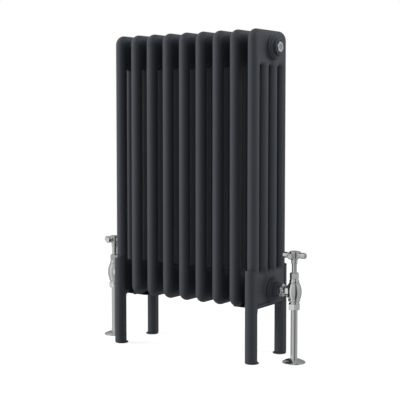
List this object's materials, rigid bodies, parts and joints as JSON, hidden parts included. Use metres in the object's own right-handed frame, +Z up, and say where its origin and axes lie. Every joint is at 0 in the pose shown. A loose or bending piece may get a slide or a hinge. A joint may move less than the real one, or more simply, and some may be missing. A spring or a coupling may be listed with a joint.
{
  "type": "column radiator with angle valves",
  "caption": "Upright steel column radiator on tubular feet, with cross-head angle valves on chrome floor pipes at both ends.",
  "frame": {"origin": "on the floor under the middle of the radiator", "axes": "+X along the sections to the right, +Y to the back, +Z up"},
  "size_m": [0.5535, 0.152, 0.717],
  "materials": {
    "anthracite_powder_coat": "satin anthracite powder coat",
    "chrome_plate": "polished chrome plate",
    "brass": "machined",
    "plain_steel": "machined, dull",
    "blackened_steel": "black oxide",
    "gasket_fibre": "compressed fibre",
    "black_rubber": "matt"
  },
  "bodies": {
    "root": {"air_vent_plug": "chrome_plate", "blanking_plug": "chrome_plate", "bush_bottom_left": "anthracite_powder_coat", "bush_bottom_right": "anthracite_powder_coat", "bush_top_left": "anthracite_powder_coat", "bush_top_right": "anthracite_powder_coat", "foot_saddle_left": "anthracite_powder_coat", "foot_saddle_right": "anthracite_powder_coat", "foot_strap_left": "anthracite_powder_coat", "foot_strap_right": "anthracite_powder_coat", "foot_strap_screws": "blackened_steel", "hub_gaskets": "gasket_fibre", "hub_nipples": "plain_steel", "left_bonnet": "chrome_plate", "left_compression_nut": "chrome_plate", "left_gland_nut": "chrome_plate", "left_gland_packing": "black_rubber", "left_olive": "brass", "left_supply_pipe": "chrome_plate", "left_tail_piece": "chrome_plate", "left_union_nut": "chrome_plate", "left_valve_body": "chrome_plate", "leg_front_left": "anthracite_powder_coat", "leg_front_right": "anthracite_powder_coat", "leg_rear_left": "anthracite_powder_coat", "leg_rear_right": "anthracite_powder_coat", "plug_seals": "black_rubber", "right_bonnet": "chrome_plate", "right_compression_nut": "chrome_plate", "right_gland_nut": "chrome_plate", "right_gland_packing": "black_rubber", "right_olive": "brass", "right_supply_pipe": "chrome_plate", "right_tail_piece": "chrome_plate", "right_union_nut": "chrome_plate", "right_valve_body": "chrome_plate", "section_1": "anthracite_powder_coat", "section_2": "anthracite_powder_coat", "section_3": "anthracite_powder_coat", "section_4": "anthracite_powder_coat", "section_5": "anthracite_powder_coat", "section_6": "anthracite_powder_coat", "section_7": "anthracite_powder_coat", "section_8": "anthracite_powder_coat", "section_9": "anthracite_powder_coat"},
    "left_jumper": {"left_jumper": "brass", "left_seat_washer": "black_rubber"},
    "left_handwheel": {"left_spindle": "brass", "left_crosshead": "chrome_plate", "left_handle_screw": "brass", "left_handle_cap": "chrome_plate"},
    "left_floor_plate": {"left_floor_plate": "chrome_plate"},
    "right_jumper": {"right_jumper": "brass", "right_seat_washer": "black_rubber"},
    "right_handwheel": {"right_spindle": "brass", "right_crosshead": "chrome_plate", "right_handle_screw": "brass", "right_handle_cap": "chrome_plate"},
    "right_floor_plate": {"right_floor_plate": "chrome_plate"},
    "bleed_screw": {"air_vent_bleed_screw": "chrome_plate"}
  },
  "joints": [
    {"name": "left_jumper_lift", "type": "slide", "parent": "root", "child": "left_jumper", "axis": [0, 0, 1], "range_m": [0, 0.0045]},
    {"name": "left_handwheel_turn", "type": "hinge", "parent": "left_jumper", "child": "left_handwheel", "pos_m": [-0.25, 0, 0.233], "axis": [0, 0, 1], "range_deg": [0, 1080]},
    {"name": "left_floor_plate_slide", "type": "slide", "parent": "root", "child": "left_floor_plate", "axis": [0, 0, 1], "range_m": [0, 0.1]},
    {"name": "right_jumper_lift", "type": "slide", "parent": "root", "child": "right_jumper", "axis": [0, 0, 1], "range_m": [0, 0.0045]},
    {"name": "right_handwheel_turn", "type": "hinge", "parent": "right_jumper", "child": "right_handwheel", "pos_m": [0.25, 0, 0.233], "axis": [0, 0, 1], "range_deg": [0, 1080]},
    {"name": "right_floor_plate_slide", "type": "slide", "parent": "root", "child": "right_floor_plate", "axis": [0, 0, 1], "range_m": [0, 0.1]},
    {"name": "bleed_screw_turn", "type": "hinge", "parent": "root", "child": "bleed_screw", "pos_m": [0.2115, 0, 0.6795], "axis": [1, 0, 0], "range_deg": [0, 360]}
  ],
  "couplings": [
    {"joint": "left_handwheel_turn", "follows": "left_jumper_lift", "rad_per_m": 4188.8},
    {"joint": "right_handwheel_turn", "follows": "right_jumper_lift", "rad_per_m": 4188.8}
  ]
}
